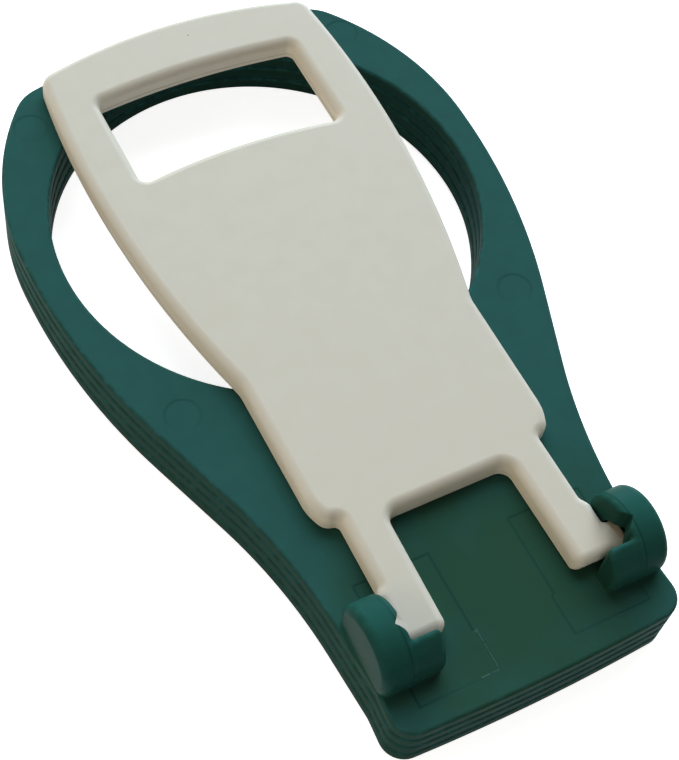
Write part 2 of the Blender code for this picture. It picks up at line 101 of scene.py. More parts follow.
def outline(corners):
    """A closed outline from corners (x, y, radius), anticlockwise.

    Each arc touches both edges t = radius / tan(a / 2) before the corner, where a is the angle between them. Its
    centre lies hypot(t, radius) from the corner along their bisector. Arcs that would meet on an edge both shrink.
    """
    spots = np.array([corner[:2] for corner in corners], float)
    back = np.roll(spots, 1, 0) - spots
    on = np.roll(spots, -1, 0) - spots
    edge = np.linalg.norm(on, axis=1)
    back /= np.linalg.norm(back, axis=1)[:, None]
    on /= edge[:, None]
    half = np.arccos(np.clip((back * on).sum(1), -1, 1)) / 2
    reach = np.array([corner[2] for corner in corners]) / np.tan(half)
    share = edge / np.maximum(reach + np.roll(reach, -1), 1e-6)
    reach = reach * np.minimum(1, np.minimum(share, np.roll(share, 1)))
    points, away = [], []
    for spot, b, o, t, a in zip(spots, back, on, reach, half):
        radius = t * math.tan(a)
        if radius < 1e-3:
            mean = np.array((o[1] - b[1], b[0] - o[0]))
            points.append([spot])
            away.append([mean / np.linalg.norm(mean)])
            continue
        middle = (b + o) / np.linalg.norm(b + o)
        centre = spot + middle * math.hypot(t, radius)
        first, last = spot + b * t - centre, spot + o * t - centre
        sweep = math.atan2(first[0] * last[1] - first[1] * last[0], first @ last)
        p, n = arc(centre, radius, math.atan2(first[1], first[0]), sweep)
        points.append(p)
        away.append(n)
    return distinct(np.concatenate(points), np.concatenate(away))


def mirrored(half):
    """Corners on both sides, from those at x >= 0. The first and last lie on the middle line."""
    return half + [(-x, y, radius) for x, y, radius in half[-2:0:-1]]


def bowed(half_width, crown, degrees, spread, corner):
    """Side corner and middle corner of an edge that bows to y = crown.

    The edge leaves the middle by an angle a, given in degrees. The middle corner lies r / cos(a) - r beyond the
    crown, with r = spread half_width / sin(a), and the side corner lies half_width tan(a) back from it.
    """
    bow = math.radians(degrees)
    radius = spread * half_width / abs(math.sin(bow))
    middle = crown + math.copysign(radius / math.cos(bow) - radius, bow)
    return (half_width, middle - half_width * math.tan(bow), corner), (0, middle, radius)


def circle(x, y, radius):
    """A full circle, without its first point again at the end."""
    points, away = arc((x, y), radius, 0, math.tau)
    return points[:-1], away[:-1]


# %% The outlines of the plates and the handle
RING = HOLE_RADIUS + SIDE_BAND
TIP = ARM + HOLE_RADIUS + TIP_BAND
tab_side, tab_middle = bowed(28.6, -16.5, -3.0, 0.80, 4.5)
tip_side, tip_middle = bowed(RING * 0.69, TIP, 13.3, 0.90, RING * 0.19)
plate_outline = outline(mirrored([
    tab_middle, tab_side,
    (28.0, -6.5, 10.0),
    (29.8, ARM * 0.24, ARM * 1.22),
    (RING, ARM - RING * 0.352, RING * 2.66),
    (RING, ARM + RING * 0.554, RING * 1.146),
    tip_side, tip_middle,
]))

LENGTH = 137.4
FLANGE, LEG = 21.3, 20.2
WAIST, BULGE, FOOT_CORNER = 24.0, 34.3, 1.9
WINDOW, WINDOW_BAR, WINDOW_HEIGHT = 21.5, 12.9, 21.4
top_side, top_middle = bowed(29.3, LENGTH, 14.6, 0.90, 3.5)
handle_outline = outline(mirrored([
    (0, 20.2, 0), (12.4, 20.2, 2.5), (12.84, 0, 0),
    (12.9, -FOOT_REACH, FOOT_CORNER), (FLANGE, -FOOT_REACH, FOOT_CORNER), (FLANGE, 0, 0),
    (FLANGE, 7.0, 2.2), (LEG, 8.6, 1.5), (20.0, 22.5, 1.2), (22.55, 23.2, 2.6), (WAIST, 26.9, 10.0),
    (WAIST, LENGTH * 0.385, 8.0), (BULGE, LENGTH * 0.677, 210.0), top_side, top_middle,
]))
head_side, head_middle = bowed(WINDOW, LENGTH - WINDOW_BAR, 6.5, 0.85, 1.7)
sill_side, sill_middle = bowed(WINDOW, LENGTH - WINDOW_BAR - WINDOW_HEIGHT, 8.3, 0.85, 1.7)
window_outline = outline(mirrored([sill_middle, sill_side, head_side, head_middle]))
print("outline points:", len(plate_outline[0]), "plate,", len(handle_outline[0]), "handle")


# %% [markdown]
# ## From outline to moulding
#
# A moulding with soft edges is a profile that is carried round its outline. At each height the outline moves out or
# in a little, and the profile's tilt says how far the surface leans there. Flat faces close the top and bottom, with
# their holes left open. The true surface direction is kept at every corner of every face. Two marks are kept at every
# point: rim, on the soft edges, which the finish paints paler, partly as rubbed wear and partly as a painted
# highlight, and upright, which says how steep the surface is, where the finish paints a tone of light or shade.

# %% Triangles of a flat face
def triangles_between(spots, edges):
    """The Delaunay triangles of the points that lie on the face.

    A triangle lies on it if a line from its middle to the right crosses an odd number of the face's edges.
    """
    made = delaunay_2d_cdt([Vector(p) for p in spots], edges.tolist(), [], 0, 1e-7)
    triangles = np.array([[made[3][i][0] for i in face] for face in made[2]])
    middle = spots[triangles].mean(1)
    a, b = spots[edges[:, 0]], spots[edges[:, 1]]
    straddles = (a[None, :, 1] > middle[:, None, 1]) != (b[None, :, 1] > middle[:, None, 1])
    rise = np.where(b[:, 1] == a[:, 1], 1, b[:, 1] - a[:, 1])
    crossing = a[:, 0] + (middle[:, None, 1] - a[None, :, 1]) * ((b - a)[:, 0] / rise)
    return triangles[(straddles & (crossing > middle[:, None, 0])).sum(1) % 2 == 1]


# %% Walls and flat faces
class Shell:
    """Points, faces, surface directions and rim marks of one piece."""

    def __init__(self):
        self.points, self.rims, self.faces, self.away = [], [], [], []
        self.size = 0

    def band(self, loop, stations, air=1):
        """A wall round a loop, through stations (out, z, tilt) from the bottom up.

        Its point is p + air n out at height z, and its direction is air n cos(tilt) + up sin(tilt), with p and n the
        loop's points and outward directions. air is -1 where the air is inside the loop. Gives back the numbers of
        the lowest and the highest ring.
        """
        spots, away = loop[0], loop[1] * air
        out, height, tilt = (np.array(column, float)[:, None] for column in zip(*stations))
        count, levels = len(spots), len(stations)
        ring = spots[None] + out[..., None] * away[None]
        points = np.concatenate((ring, np.broadcast_to(height[..., None], (levels, count, 1))), 2)
        lean = np.concatenate((np.cos(tilt)[..., None] * away[None],
                               np.broadcast_to(np.sin(tilt)[..., None], (levels, count, 1))), 2)
        number = self.size + np.arange(levels * count).reshape(levels, count)
        low, high = number[:-1], number[1:]
        quads = np.stack((low, np.roll(low, -1, 1), np.roll(high, -1, 1), high), 2).reshape(-1, 4)
        if air < 0:
            quads = quads[:, ::-1]
        lean = lean.reshape(-1, 3)
        self.points.append(points.reshape(-1, 3))
        self.rims.append(np.broadcast_to(np.abs(np.sin(2 * tilt)), (levels, count)).reshape(-1))
        self.faces.append(quads)
        self.away.append(lean[quads - self.size])
        self.size += levels * count
        return number[0], number[-1]

    def flat(self, rings, up, extra=None):
        """A level face inside the first ring and outside the others, facing up for 1 and down for -1."""
        points = np.concatenate(self.points)
        numbers = np.concatenate(rings)
        spots = points[numbers, :2]
        if extra is not None:
            level = np.full((len(extra), 1), points[numbers[0], 2])
            self.points.append(np.concatenate((extra, level), 1))
            self.rims.append(np.zeros(len(extra)))
            numbers = np.concatenate((numbers, self.size + np.arange(len(extra))))
            spots = np.concatenate((spots, extra))
            self.size += len(extra)
        edges, start = [], 0
        for ring in rings:
            step = start + np.arange(len(ring))
            edges.append(np.stack((step, np.roll(step, -1)), 1))
            start += len(ring)
        edges = np.concatenate(edges)
        triangles = triangles_between(spots, edges)
        one, two = (spots[triangles[:, k]] - spots[triangles[:, 0]] for k in (1, 2))
        turned = (one[:, 0] * two[:, 1] - one[:, 1] * two[:, 0] > 0) != (up > 0)
        triangles[turned] = triangles[turned][:, ::-1]
        self.faces.append(numbers[triangles])
        self.away.append(np.broadcast_to((0.0, 0.0, float(up)), (len(triangles), 3, 3)))

    def arrays(self):
        """All points and rim marks, and for each group of faces its numbers and directions."""
        return np.concatenate(self.points), np.concatenate(self.rims), self.faces, self.away


def soft(low, high, below, above=None, steps=7):
    """Stations of a wall with quarter-round edges: (r cos t - r, z, t), upright between them."""
    above = below if above is None else above
    lower = [(below * (math.cos(t) - 1), low + below * (1 + math.sin(t)), t)
             for t in np.linspace(-math.pi / 2, 0, steps)] if below else [(0, low, 0)]
    upper = [(above * (math.cos(t) - 1), high - above * (1 - math.sin(t)), t)
             for t in np.linspace(0, math.pi / 2, steps)] if above else [(0, high, 0)]
    return lower + upper


# %% Into the scene
def piece(name, points, rims, faces, away):
    """A mesh object at the origin. Points come about the pivot in millimetres, and go to the frame in metres."""
    mesh = bpy.data.meshes.new(name)
    spots = (points + (0, PIVOT_Y, 0)) * MM
    mesh.from_pydata(spots.tolist(), [], [face for group in faces for face in group.tolist()])
    mesh.polygons.foreach_set("use_smooth", np.ones(len(mesh.polygons), bool))
    corners = np.concatenate([group.reshape(-1, 3) for group in away])
    corners = corners / np.linalg.norm(corners, axis=1)[:, None]
    mesh.normals_split_custom_set(corners.tolist())
    upright = np.zeros(len(points))
    for group, lean in zip(faces, away):
        upright[group] = 1 - np.abs(lean[..., 2]) / np.linalg.norm(lean, axis=2)
    for label, values in (("rim", rims), ("upright", upright)):
        mesh.attributes.new(label, "FLOAT", "POINT").data.foreach_set("value", values.astype(np.float32))
    mesh.update()
    made = bpy.data.objects.new(name, mesh)
    bpy.context.scene.collection.objects.link(made)
    print(f"{name}: {len(mesh.vertices)} points, {sum(len(p.vertices) - 2 for p in mesh.polygons)} triangles")
    return made


# %% [markdown]
# ## The ring plates
#
# Each plate is one moulding: a ring round the cup hole, and a squared tab that the pivot goes through. A post under
# the top plate is the axle of the others, and a cap with a screw closes it from below. A peg under each plate runs in
# a quarter groove of the next, so that the rings fan out and stop square. The same bands and flat faces make all
# four plates, so an edge looks the same on every layer of the stack.

# %% Radii and heights of the pivot and the stops
POST, CAP_RIM, CAP_NECK, SCREW_HEAD, SCREW_SHANK = 8.0, 12.7, 5.0, 3.3, 2.0
CAP_LOW, CAP_HIGH, NECK_HIGH, WELL_HIGH = 0.2, 1.5, 4.5, 2.4
HEAD_LOW, HEAD_HIGH, SHANK_HIGH = 0.6, 2.1, 8.4
SEAT_HIGH = CAP_HIGH + GAP
STOP_RING, PEG, STOP_DEPTH = 17.0, 1.5, 1.5
SLOT = PEG + GAP
print("post", 2 * POST, "mm across, pegs", STOP_RING, "mm from the pivot")


# %% One plate
def groove_loop():
    """A quarter groove about the pivot: arcs of radius STOP_RING +- SLOT, closed by two half circles."""
    quarter = math.pi / 2
    parts = (arc((0, 0), STOP_RING + SLOT, 0, quarter), arc((0, STOP_RING), SLOT, quarter, math.pi),
             arc((0, 0), STOP_RING - SLOT, quarter, -quarter), arc((STOP_RING, 0), SLOT, -math.pi, math.pi))
    return distinct(np.concatenate([part[0] for part in parts]), np.concatenate([part[1] for part in parts]))


def ring_plate(name, bottom, bore_from=None, peg=True, seat=False, post=False):
    """A plate whose bottom is at this height, with what its place in the stack asks of it."""
    shell, top = Shell(), bottom + PLATE
    low, high = shell.band(plate_outline, soft(bottom, top, PLATE_EDGE))
    above, below = [high], [low]
    low, high = shell.band(circle(0, ARM, HOLE_RADIUS), soft(bottom, top, PLATE_EDGE), -1)
    above.append(high)
    below.append(low)
    if bore_from is not None:
        bore = soft(bore_from, top, 0 if seat else PLATE_EDGE, PLATE_EDGE)
        low, high = shell.band(circle(0, 0, POST + GAP), bore, -1)
        above.append(high)
        if seat:
            edge, ceiling = shell.band(circle(0, 0, CAP_RIM + GAP), soft(bottom, bore_from, 0.2, 0), -1)
            shell.flat([ceiling, low], -1)
            low = edge
        below.append(low)
        floor, rim = shell.band(groove_loop(), soft(top - STOP_DEPTH, top, 0, 0.15), -1)
        shell.flat([floor], 1)
        above.append(rim)
    if peg:
        tip, root = shell.band(circle(0, STOP_RING, PEG), soft(bottom - STOP_DEPTH, bottom, 0.3, 0))
        shell.flat([tip], -1)
        below.append(root)
    if post:
        end, root = shell.band(circle(0, 0, POST), soft(SEAT_HIGH, bottom, 0.2, 0))
        below.append(root)
        socket_high = NECK_HIGH + GAP
        mouth, ceiling = shell.band(circle(0, 0, CAP_NECK + GAP), soft(SEAT_HIGH, socket_high, 0, 0), -1)
        shell.flat([end, mouth], -1)
        foot, head = shell.band(circle(0, 0, SCREW_SHANK + GAP), soft(socket_high, SHANK_HIGH + GAP, 0, 0), -1)
        shell.flat([ceiling, foot], -1)
        shell.flat([head], -1)
    shell.flat(above, 1)
    shell.flat(below, -1)
    return piece(name, *shell.arrays())


# %% The stack
top_plate = ring_plate("top_plate_skin", TOP_BOTTOM, post=True)
second_plate = ring_plate("second_plate_skin", 2 * PITCH, 2 * PITCH)
third_plate = ring_plate("third_plate_skin", PITCH, PITCH)
bottom_plate = ring_plate("bottom_plate_skin", 0, SEAT_HIGH, peg=False, seat=True)
stack = {"top_ring_plate": top_plate, "second_ring_plate": second_plate,
         "third_ring_plate": third_plate, "bottom_ring_plate": bottom_plate}


# %% [markdown]
# ## The hinge drums
#
# A drum has to do several jobs in a small block: hold a pin, let it snap in through a notch, and stop the handle
# with a lug. Its parts melt into each other with small fillets, which no bevel of a cut mesh gives cleanly. So the
# drum is written as a field, a number at each place that says how far the place is from the surface, below zero
# inside. Fields are joined and cut with soft edges by short formulas. A mesh is then laid over the places where the
# number is zero, and each of its points is moved onto them. How strongly the field bends there marks the rims.

# %% Fields that join softly
def both(a, b, edge):
    """Inside a and inside b, with the edge between them rounded by this radius."""
    a, b = a + edge, b + edge
    return np.hypot(np.maximum(a, 0), np.maximum(b, 0)) + np.minimum(np.maximum(a, b), 0) - edge


def joined(a, b, fillet):
    """Inside a or inside b: the lower of the two, less f h h / 4 with h = max(1 - |a - b| / f, 0)."""
    h = np.maximum(1 - np.abs(a - b) / fillet, 0)
    return np.minimum(a, b) - fillet * h * h / 4


def cut(a, b, fillet):
    """Inside a but not inside b, with the same soft meeting."""
    return -joined(-a, b, fillet)


# %% The drum as a field
DRUM_RADIUS, DRUM_INNER, DRUM_OUTER, DRUM_BACK = 8.1, 21.6, 28.0, 0.35
LUG_RADIUS, LUG_FACE, LUG_MIDDLE, LUG_HALF = 8.0, 3.7, 19.8, 3.4
NOTCH_HALF, NOTCH_DEPTH, NOTCH_BACK = 1.75, 1.5, 0.6
SOCKET, SOCKET_END = 3.1, 23.9
tab_edge = plate_outline[0][(plate_outline[0][:, 0] > 0) & (np.abs(plate_outline[0][:, 1]) < 14)]
tab_edge = tab_edge[np.argsort(tab_edge[:, 1])]


def drum_field(x, y, z):
    """The right drum about the hinge line, with its lug, notch, socket and the plate under it.

    The housing is a disc of radius DRUM_RADIUS from x = DRUM_INNER to DRUM_OUTER, centred at y = -DRUM_BACK. The lug
    is the part of a slightly smaller disc that lies beyond y = -LUG_FACE. The notch is the wedge
    |y + NOTCH_BACK| / w + (x - DRUM_INNER) / d < 1 above the hinge line, with w its half width and d its depth. The
    socket is a bore about the hinge line that ends at x = SOCKET_END.
    """
    disc = np.hypot(y + DRUM_BACK, z)
    housing = both(both(disc - DRUM_RADIUS, DRUM_INNER - x, 1.15), x - DRUM_OUTER, 1.7)
    lug = both(both(disc - LUG_RADIUS, y + LUG_FACE, 1.2), np.abs(x - LUG_MIDDLE) - LUG_HALF, 0.9)
    drum = np.maximum(joined(housing, lug, 0.6), -3.5 - z)
    wedge = np.abs(y + NOTCH_BACK) * NOTCH_DEPTH + (x - DRUM_INNER) * NOTCH_HALF - NOTCH_HALF * NOTCH_DEPTH
    wedge = wedge / math.hypot(NOTCH_HALF, NOTCH_DEPTH)
    drum = cut(drum, both(np.maximum(wedge, 20.5 - x), -z, 0.2), 0.3)
    drum = cut(drum, np.maximum(np.hypot(y, z) - SOCKET, x - SOCKET_END), 0.25)
    side = x - np.interp(y, tab_edge[:, 1], tab_edge[:, 0])
    plate = both(side, np.abs(z + HINGE_UP + PLATE / 2) - PLATE / 2, PLATE_EDGE) + SUNK
    under = np.maximum.reduce([plate, np.abs(y + 0.3) - 9.2, 15.4 - x, -4.2 - z])
    return joined(drum, under, 0.5)


# %% A mesh over a field
STEPS, LEASH = 8, 0.75


def slope(field, p, step=0.004):
    """The field's gradient by central differences, (f(p + m) - f(p - m)) / 2 step along each axis."""
    moves = np.eye(3) * step
    return np.stack([field(*(p + m).T) - field(*(p - m).T) for m in moves], 1) / (2 * step)


def skin(field, low, high, pitch):
    """Points, faces and directions of the surface where field = 0.

    One point stands in every grid cell that the surface crosses. It moves STEPS times by -f g / (g.g), with g the
    gradient, which brings f to zero, and never further than LEASH cells. Each grid edge that the surface crosses
    gives one face, through the four cells round it.
    """
    axes = [np.arange(a, b + pitch, pitch) for a, b in zip(low, high)]
    inside = field(*np.meshgrid(*axes, indexing="ij")) < 0
    corners = sum(inside[i:i - 1 or None, j:j - 1 or None, k:k - 1 or None].astype(int)
                  for i in (0, 1) for j in (0, 1) for k in (0, 1))
    crossed = (corners > 0) & (corners < 8)
    number = np.full(crossed.shape, -1)
    number[crossed] = np.arange(crossed.sum())
    centre = np.argwhere(crossed) * pitch + np.array([axis[0] for axis in axes]) + pitch / 2
    p = centre.copy()
    for _ in range(STEPS):
        g = slope(field, p)
        p = p - (field(*p.T) / np.maximum((g * g).sum(1), 0.05))[:, None] * g
        p = centre + np.clip(p - centre, -LEASH * pitch, LEASH * pitch)
    faces = []
    for a in range(3):
        b, c = (a + 1) % 3, (a + 2) % 3
        here = np.moveaxis(inside, (a, b, c), (0, 1, 2))
        cell = np.moveaxis(number, (a, b, c), (0, 1, 2))
        i, j, k = np.nonzero(here[:-1, 1:-1, 1:-1] != here[1:, 1:-1, 1:-1])
        quad = np.stack((cell[i, j, k], cell[i, j + 1, k], cell[i, j + 1, k + 1], cell[i, j, k + 1]), 1)
        leaves = here[:-1, 1:-1, 1:-1][i, j, k]
        quad[~leaves] = quad[~leaves][:, ::-1]
        faces.append(quad)
    g = slope(field, p)
    return p, np.concatenate(faces), g / np.linalg.norm(g, axis=1)[:, None]


def pair(name, points, rims, faces, away):
    """One piece from a right part about the hinge line and its mirror image on the left."""
    flip = np.array((-1, 1, 1))
    return piece(name, np.concatenate((points, points * flip)) + (0, 0, HINGE_Z), np.concatenate((rims, rims)),
                 [faces, faces[:, ::-1] + len(points)], [away[faces], (away * flip)[faces[:, ::-1]]])


# %% Both drums
REACH = 0.15
points, faces, away = skin(drum_field, (15.0, -9.9, -4.6), (29.0, 9.5, 8.6), 0.2)
moves = np.eye(3) * REACH
swell = sum(drum_field(*(points + m).T) + drum_field(*(points - m).T) for m in moves) / REACH ** 2
drums = pair("hinge_drums", points, np.clip(swell * 0.5, 0, 1), faces, away)

# %% [markdown]
# ## The handle
#
# The handle is a flat moulding with well rounded edges, a finger window and a fork. The heels of its two legs are
# round about the hinge line, so that it can swing up without touching the plate. The heels are made by drawing in
# whatever lies further from the hinge line than the heel's radius, and rows of extra points in the underside let it
# bend there. The two halves of the mould met 1 mm above the underside, and left a fine groove all round the wall.

# %% The slab
SLAB_LOW, SLAB_HIGH = -FOOT_REACH, -FOOT_REACH + 4.5
LOW_ROUND, TOP_ROUND = 0.25, 1.85
PARTING, PARTING_HALF, PARTING_DEPTH = SLAB_LOW + 1.0, 0.18, 0.2
groove = [(0, PARTING - PARTING_HALF, 0), (-PARTING_DEPTH, PARTING - 0.05, 0.8),
          (-PARTING_DEPTH, PARTING + 0.05, -0.8), (0, PARTING + PARTING_HALF, 0)]
wall = soft(SLAB_LOW, PARTING - PARTING_HALF, LOW_ROUND, 0, 5)[:-1] + groove
wall += soft(PARTING + PARTING_HALF, SLAB_HIGH, 0, TOP_ROUND, 13)[1:]
shell = Shell()
outer = shell.band(handle_outline, wall)
window = shell.band(window_outline, wall, -1)
HEEL_BACK, HEEL_STEP, HEEL_IN, HEEL_OUT = -1.2, 0.24, 14.6, 19.6
rows, columns = np.meshgrid(np.arange(HEEL_BACK, 0.1, HEEL_STEP), np.linspace(HEEL_IN, HEEL_OUT, 8))
heel_points = np.stack((columns.ravel(), rows.ravel()), 1)
shell.flat([outer[0], window[0]], -1, np.concatenate((heel_points, heel_points * (-1, 1))))
shell.flat([outer[1], window[1]], 1)
points, rims, faces, away = shell.arrays()
print("slab", round(SLAB_HIGH - SLAB_LOW, 2), "mm thick,", len(points), "points")


# %% The heels
def heel(points, away=None):
    """Draws in points behind and below the hinge line to the heel's radius, and turns their directions with them.

    Where r = hypot(y, z) is over FOOT_REACH, y and z become y FOOT_REACH / r and z FOOT_REACH / r.
    """
    r = np.hypot(points[..., 1], points[..., 2])
    far = (points[..., 1] < 1e-6) & (points[..., 2] < 0) & (r > FOOT_REACH)
    shrink = np.where(far, FOOT_REACH / np.maximum(r, 1e-9), 1)
    moved = points * np.stack((np.ones_like(r), shrink, shrink), -1)
    if away is None:
        return moved
    spread = np.sqrt(np.maximum(1 - away[..., 0] ** 2, 0)) / np.maximum(r, 1e-9)
    radial = np.stack((away[..., 0], points[..., 1] * spread, points[..., 2] * spread), -1)
    return np.where(far[..., None], radial, away)


away = [heel(points[group], lean) for group, lean in zip(faces, away)]
handle = piece("handle_skin", heel(points) + (0, 0, HINGE_Z), rims, faces, away)


# %% [markdown]
# ## The pins
#
# A pin swells out of each foot towards its drum, with a soft hollow all round where it leaves the foot's side. So it
# is laid over a field too: a blunt round pin, joined to the end of the foot. The field's foot lies a few thousandths
# of a millimetre inside the foot's own surface, so that the two run into each other without a visible seam.

# %% Blunt pins
PIN, PIN_END, PIN_UP, PIN_FLAT = 2.75, 23.5, 0.12, 1.78
PIN_SINK, PIN_FADE = 1.6, 2.8


def pin_field(x, y, z):
    """The right pin about the hinge line, and the end of the foot that it swells from.

    Inside the foot its radius shrinks to PIN - PIN_SINK h h (3 - 2 h), where h goes from 0 at the foot's side to 1
    at PIN_FADE from it. Its back is flat at z = PIN_FLAT, just below the handle's top face.
    """
    foot = both(both(x - FLANGE, SLAB_LOW - y, FOOT_CORNER), z - SLAB_HIGH, TOP_ROUND) + SUNK
    foot = np.maximum(foot, np.where((y < 0) & (z < 0), np.hypot(y, z), np.abs(z)) - FOOT_REACH + SUNK)
    h = np.clip((FLANGE - x) / PIN_FADE, 0, 1)
    pin = both(np.hypot(y, z - PIN_UP) - PIN + PIN_SINK * h * h * (3 - 2 * h), z - PIN_FLAT, 1.3)
    pin = both(pin, x - PIN_END, 0.7)
    pin = joined(pin, np.maximum.reduce([foot, y - 4.0, 17.0 - x]), 0.9)
    return np.maximum(pin, 16.8 - x)


points, faces, away = skin(pin_field, (16.4, -3.6, -3.6), (24.2, 5.0, 3.6), 0.15)
pins = pair("hinge_pins", points, np.zeros(len(points)), faces, away)

# %% [markdown]
# ## The cap and the screw
#
# Under the stack a round cap closes the pivot, and a screw with a cross recess holds it. Both are turned: the same
# bands run round circles instead of an outline. The cross recess is a pocket with a cross for its outline.

# %% Cap
shell = Shell()
rim_low, rim_high = shell.band(circle(0, 0, CAP_RIM), soft(CAP_LOW, CAP_HIGH, 0.4))
neck_low, neck_high = shell.band(circle(0, 0, CAP_NECK), soft(CAP_HIGH, NECK_HIGH, 0, 0.3))
hole_low, hole_high = shell.band(circle(0, 0, SCREW_SHANK + GAP), soft(WELL_HIGH, NECK_HIGH, 0, 0.15), -1)
well_low, well_high = shell.band(circle(0, 0, SCREW_HEAD + GAP), soft(CAP_LOW, WELL_HIGH, 0.2, 0), -1)
shell.flat([rim_low, well_low], -1)
shell.flat([rim_high, neck_low], 1)
shell.flat([neck_high, hole_high], 1)
shell.flat([well_high, hole_low], -1)
cap = piece("cap_skin", *shell.arrays())

# %% Screw
shell = Shell()
head_low, head_high = shell.band(circle(0, 0, SCREW_HEAD), soft(HEAD_LOW, HEAD_HIGH, 0.55, 0.1))
shank_low, shank_high = shell.band(circle(0, 0, SCREW_SHANK), soft(HEAD_HIGH, SHANK_HIGH, 0, 0.9))
SLOT_HALF, SLOT_REACH, SLOT_HIGH = 0.45, 2.0, 1.4
arm = ((SLOT_HALF, SLOT_HALF, 0.25), (SLOT_HALF, SLOT_REACH, 0.2), (-SLOT_HALF, SLOT_REACH, 0.2))
cross = []
for quarter in range(4):
    c, s = math.cos(quarter * math.pi / 2), math.sin(quarter * math.pi / 2)
    cross += [(x * c - y * s, x * s + y * c, radius) for x, y, radius in arm]
pocket = [(-0.1, HEAD_LOW, -1.2), (0, HEAD_LOW + 0.08, -0.5), (0.12, SLOT_HIGH, -0.2)]
cross_mouth, cross_floor = shell.band(outline(cross), pocket, -1)
shell.flat([head_low, cross_mouth], -1)
shell.flat([cross_floor], -1)
shell.flat([head_high, shank_low], 1)
shell.flat([shank_high], 1)
screw = piece("screw_skin", *shell.arrays())

# %% [markdown]
# ## Finishes
#
# The pieces have two plastics, green and cream. Both come from moulds with a fine spark-eroded texture, so light
# spreads softly over them. What tells them from plain colour is a faint grain, slow cloudiness, rims that are partly
# rubbed and partly painted with a highlight, hairline marks and one dark speck. Each of these effects is a small node
# group, so a plastic can use it with its own amounts.
# All of them read Object coordinates, or a mark that the mesh carries, and both stay still when the handle swings.

# %% Node helpers
def feed(tree, value, socket):
    """Feeds a socket from another node's output, or with a fixed value."""
    if isinstance(value, bpy.types.NodeSocket):
        tree.links.new(value, socket)
    else:
        socket.default_value = value


def add(tree, kind, values=None, **settings):
    """A shader node of this kind, with its settings and its inputs by name or number."""
    made = tree.nodes.new("ShaderNode" + kind)
    for name, value in settings.items():
        setattr(made, name, value)
    for key, value in (values or {}).items():
        feed(tree, value, made.inputs[key])
    return made


def calc(tree, operation, *values):
    """The result of a Math node."""
    return add(tree, "Math", dict(enumerate(values)), operation=operation).outputs[0]


def blend(tree, share, first, second):
    """A colour between two, by a share."""
    made = add(tree, "Mix", data_type="RGBA")
    for key, value in ((0, share), (6, first), (7, second)):
        feed(tree, value, made.inputs[key])
    return made.outputs[2]


def ramp(tree, value, low, high, start=0.0, end=1.0):
    """A value carried smoothly from one range to another."""
    made = add(tree, "MapRange", {0: value, 1: low, 2: high, 3: start, 4: end}, interpolation_type="SMOOTHSTEP")
    return made.outputs[0]


def millimetres(tree):
    """The place on the piece, in millimetres."""
    place = add(tree, "TexCoord").outputs["Object"]
    return add(tree, "VectorMath", {0: place, 1: (1000, 1000, 1000)}, operation="MULTIPLY").outputs[0]


def noise(tree, place, scale, detail=2.0, roughness=0.5):
    """Noise whose grains are about 1 / scale millimetres across."""
    return add(tree, "TexNoise", {"Vector": place, "Scale": scale, "Detail": detail,
                                  "Roughness": roughness}).outputs[0]


def effect(name, inputs, outputs):
    """A node group with named inputs (name, start value) and value outputs."""
    tree = bpy.data.node_groups.new(name, "ShaderNodeTree")
    for label, start in inputs:
        tree.interface.new_socket(label, in_out="INPUT", socket_type="NodeSocketFloat").default_value = start
    for label in outputs:
        tree.interface.new_socket(label, in_out="OUTPUT", socket_type="NodeSocketFloat")
    return tree, tree.nodes.new("NodeGroupInput").outputs, tree.nodes.new("NodeGroupOutput").inputs


def use(tree, group, **values):
    """Places a group in a material."""
    made = tree.nodes.new("ShaderNodeGroup")
    made.node_tree = group
    for key, value in values.items():
        made.inputs[key].default_value = value
    return made.outputs


# %% [markdown]
# ## Grain, rims rubbed and painted with a highlight, and a speck
#
# The grain is fine noise for the height of the surface, over a slow wave. Broader noise makes the clouds, which blend
# two close tones. A rim gets its pale tone, partly rubbed wear and partly a painted highlight, only where another
# noise lets it, because wear comes in patches. Scuffs are the same noise, stretched and turned. The speck is a dot
# of dirt that was moulded into the cream plastic.

# %% Grain and clouds
grain_group, given, result = effect("moulded grain", [("Depth", 0.003), ("Wave", 0.02)], ["Height", "Cloud"])
place = millimetres(grain_group)
fine = noise(grain_group, place, 3.2, 3.0, 0.6)
slow = noise(grain_group, place, 0.07, 2.0)
height = calc(grain_group, "MULTIPLY", fine, given["Depth"])
feed(grain_group, calc(grain_group, "MULTIPLY_ADD", slow, given["Wave"], height), result["Height"])
feed(grain_group, ramp(grain_group, noise(grain_group, place, 0.22, 4.0, 0.62), 0.36, 0.68), result["Cloud"])

# %% Rims rubbed and painted with a highlight, and scuffs
rim_wear_highlight_group, given, result = effect("rubbed rims with a painted highlight", [("Amount", 0.5)], ["Rim", "Scuff"])
place = millimetres(rim_wear_highlight_group)
# The rim mask: soft edges, which get a pale tone that is partly rubbed wear and partly a painted highlight.
rim = add(rim_wear_highlight_group, "Attribute", attribute_name="rim").outputs["Fac"]
broken = ramp(rim_wear_highlight_group, noise(rim_wear_highlight_group, place, 0.5, 4.0, 0.6), 0.42, 0.70)
feed(rim_wear_highlight_group, calc(rim_wear_highlight_group, "MULTIPLY", calc(rim_wear_highlight_group, "MULTIPLY", rim, broken), given["Amount"]), result["Rim"])
turned = add(rim_wear_highlight_group, "Mapping", {"Vector": place, "Rotation": (0, 0, 0.7), "Scale": (0.35, 2.4, 1)}).outputs[0]
streak = ramp(rim_wear_highlight_group, noise(rim_wear_highlight_group, turned, 1.1, 3.0, 0.7), 0.60, 0.72)
patch = ramp(rim_wear_highlight_group, noise(rim_wear_highlight_group, place, 0.09, 2.0), 0.48, 0.62)
feed(rim_wear_highlight_group, calc(rim_wear_highlight_group, "MULTIPLY", streak, patch), result["Scuff"])

